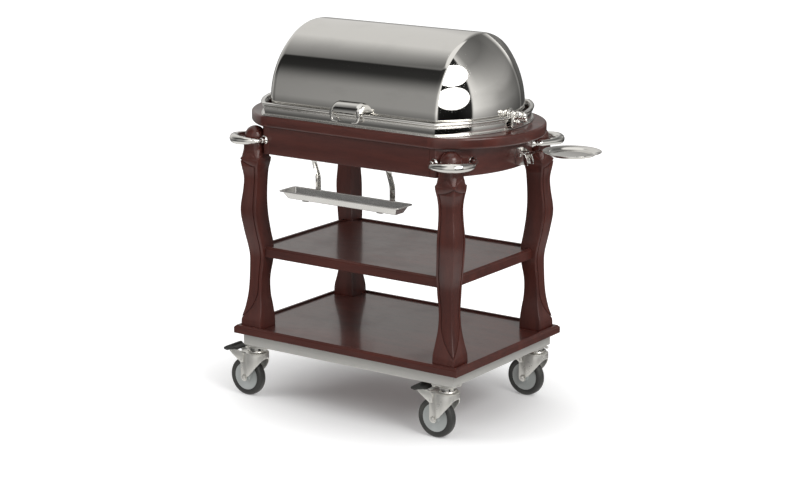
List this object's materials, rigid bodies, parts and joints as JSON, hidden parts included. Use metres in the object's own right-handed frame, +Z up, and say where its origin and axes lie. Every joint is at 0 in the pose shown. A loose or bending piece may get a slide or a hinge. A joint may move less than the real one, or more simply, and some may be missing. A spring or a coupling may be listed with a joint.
{
  "type": "carving trolley",
  "caption": "Wooden carving trolley on braked swivel castors with a roll-top domed lid over a hot well, two shelves, corner handles, knife tray and fold-down plate holder.",
  "frame": {"origin": "on the floor below the middle of the base board", "axes": "+X along the long side towards the plate holder, -Y towards the front with the knife tray and the dome's handle, +Z up"},
  "size_m": [1.1987, 0.647, 1.197],
  "materials": {
    "mahogany": "satin mahogany lacquer",
    "brushed_frame": "satin brushed stainless steel",
    "zinc_castor": "bright zinc plated pressed steel",
    "polished_gallery": "polished stainless steel moulding",
    "polished_fittings": "mirror polished plating",
    "polished_dome": "mirror polished",
    "satin_well": "satin stainless steel",
    "burner_steel": "satin spun steel",
    "beech_board": "oiled beech",
    "grey_hub": "satin grey nylon",
    "grey_tyre": "dark grey solid rubber",
    "black_pedal": "black moulded nylon"
  },
  "bodies": {
    "table": {"frame_long_tubes": "brushed_frame", "frame_end_tubes": "brushed_frame", "castor_plates": "zinc_castor", "castor_kingpins": "zinc_castor", "castor_races": "zinc_castor", "frame_bolts": "zinc_castor", "bottom_panel": "mahogany", "bottom_edging": "mahogany", "middle_panel": "mahogany", "middle_edging": "mahogany", "leg_front_left": "mahogany", "leg_front_right": "mahogany", "leg_back_left": "mahogany", "leg_back_right": "mahogany", "apron_long_rails": "mahogany", "apron_ends": "mahogany", "top_long_rails": "mahogany", "top_ends": "mahogany", "gallery": "polished_gallery", "pivot_housings": "polished_fittings", "clamp_screws": "polished_fittings", "pivot_shafts": "satin_well", "tank_hangers": "satin_well", "water_tank": "satin_well", "burner_cradle": "satin_well", "burners": "burner_steel", "corner_handles": "polished_fittings", "handle_feet": "polished_fittings", "tray_straps": "polished_fittings", "plate_bracket": "polished_fittings", "bracket_screws": "polished_fittings"},
    "dome": {"dome_shell": "polished_dome", "dome_rim": "polished_dome", "dome_bushes": "polished_fittings", "dome_handle": "polished_fittings"},
    "tray": {"knife_tray": "polished_fittings"},
    "pan": {"carving_pan": "satin_well"},
    "board": {"carving_board": "beech_board"},
    "pot_front": {"sauce_pot_front": "satin_well"},
    "pot_back": {"sauce_pot_back": "satin_well"},
    "lid_front": {"pot_lid_front": "satin_well"},
    "lid_back": {"pot_lid_back": "satin_well"},
    "plate_holder": {"plate_arm": "polished_fittings", "plate_dish": "polished_fittings"},
    "fork_fl": {"castor_fork_fl": "zinc_castor"},
    "wheel_fl": {"castor_wheel_fl": "grey_hub", "castor_tyre_fl": "grey_tyre"},
    "pedal_fl": {"brake_pedal_fl": "black_pedal"},
    "fork_fr": {"castor_fork_fr": "zinc_castor"},
    "wheel_fr": {"castor_wheel_fr": "grey_hub", "castor_tyre_fr": "grey_tyre"},
    "pedal_fr": {"brake_pedal_fr": "black_pedal"},
    "fork_bl": {"castor_fork_bl": "zinc_castor"},
    "wheel_bl": {"castor_wheel_bl": "grey_hub", "castor_tyre_bl": "grey_tyre"},
    "pedal_bl": {"brake_pedal_bl": "black_pedal"},
    "fork_br": {"castor_fork_br": "zinc_castor"},
    "wheel_br": {"castor_wheel_br": "grey_hub", "castor_tyre_br": "grey_tyre"},
    "pedal_br": {"brake_pedal_br": "black_pedal"}
  },
  "joints": [
    {"name": "dome_roll", "type": "hinge", "parent": "table", "child": "dome", "pos_m": [0, 0, 0.961], "axis": [-1, 0, 0], "range_deg": [0, 165]},
    {"name": "tray_lift", "type": "slide", "parent": "table", "child": "tray", "axis": [0, 0, 1], "range_m": [0, 0.03]},
    {"name": "pan_lift", "type": "slide", "parent": "table", "child": "pan", "axis": [0, 0, 1], "range_m": [0, 0.07]},
    {"name": "board_lift", "type": "slide", "parent": "pan", "child": "board", "axis": [0, 0, 1], "range_m": [0, 0.04]},
    {"name": "pot_front_lift", "type": "slide", "parent": "table", "child": "pot_front", "axis": [0, 0, 1], "range_m": [0, 0.09]},
    {"name": "pot_back_lift", "type": "slide", "parent": "table", "child": "pot_back", "axis": [0, 0, 1], "range_m": [0, 0.09]},
    {"name": "lid_front_lift", "type": "slide", "parent": "pot_front", "child": "lid_front", "axis": [0, 0, 1], "range_m": [0, 0.045]},
    {"name": "lid_back_lift", "type": "slide", "parent": "pot_back", "child": "lid_back", "axis": [0, 0, 1], "range_m": [0, 0.045]},
    {"name": "plate_fold", "type": "hinge", "parent": "table", "child": "plate_holder", "pos_m": [0.447, 0.022, 0.838], "axis": [0, 1, 0], "range_deg": [0, 90]},
    {"name": "swivel_fl", "type": "hinge", "parent": "table", "child": "fork_fl", "pos_m": [-0.366, -0.255, 0.146], "axis": [0, 0, 1], "continuous": true},
    {"name": "roll_fl", "type": "hinge", "parent": "fork_fl", "child": "wheel_fl", "pos_m": [-0.404, -0.255, 0.0625], "axis": [0, 1, 0], "continuous": true},
    {"name": "brake_fl", "type": "hinge", "parent": "fork_fl", "child": "pedal_fl", "pos_m": [-0.412, -0.255, 0.12], "axis": [0, -1, 0], "range_deg": [0, 15]},
    {"name": "swivel_fr", "type": "hinge", "parent": "table", "child": "fork_fr", "pos_m": [0.366, -0.255, 0.146], "axis": [0, 0, 1], "continuous": true},
    {"name": "roll_fr", "type": "hinge", "parent": "fork_fr", "child": "wheel_fr", "pos_m": [0.328, -0.255, 0.0625], "axis": [0, 1, 0], "continuous": true},
    {"name": "brake_fr", "type": "hinge", "parent": "fork_fr", "child": "pedal_fr", "pos_m": [0.32, -0.255, 0.12], "axis": [0, -1, 0], "range_deg": [0, 15]},
    {"name": "swivel_bl", "type": "hinge", "parent": "table", "child": "fork_bl", "pos_m": [-0.366, 0.255, 0.146], "axis": [0, 0, 1], "continuous": true},
    {"name": "roll_bl", "type": "hinge", "parent": "fork_bl", "child": "wheel_bl", "pos_m": [-0.404, 0.255, 0.0625], "axis": [0, 1, 0], "continuous": true},
    {"name": "brake_bl", "type": "hinge", "parent": "fork_bl", "child": "pedal_bl", "pos_m": [-0.412, 0.255, 0.12], "axis": [0, -1, 0], "range_deg": [0, 15]},
    {"name": "swivel_br", "type": "hinge", "parent": "table", "child": "fork_br", "pos_m": [0.366, 0.255, 0.146], "axis": [0, 0, 1], "continuous": true},
    {"name": "roll_br", "type": "hinge", "parent": "fork_br", "child": "wheel_br", "pos_m": [0.328, 0.255, 0.0625], "axis": [0, 1, 0], "continuous": true},
    {"name": "brake_br", "type": "hinge", "parent": "fork_br", "child": "pedal_br", "pos_m": [0.32, 0.255, 0.12], "axis": [0, -1, 0], "range_deg": [0, 15]}
  ]
}
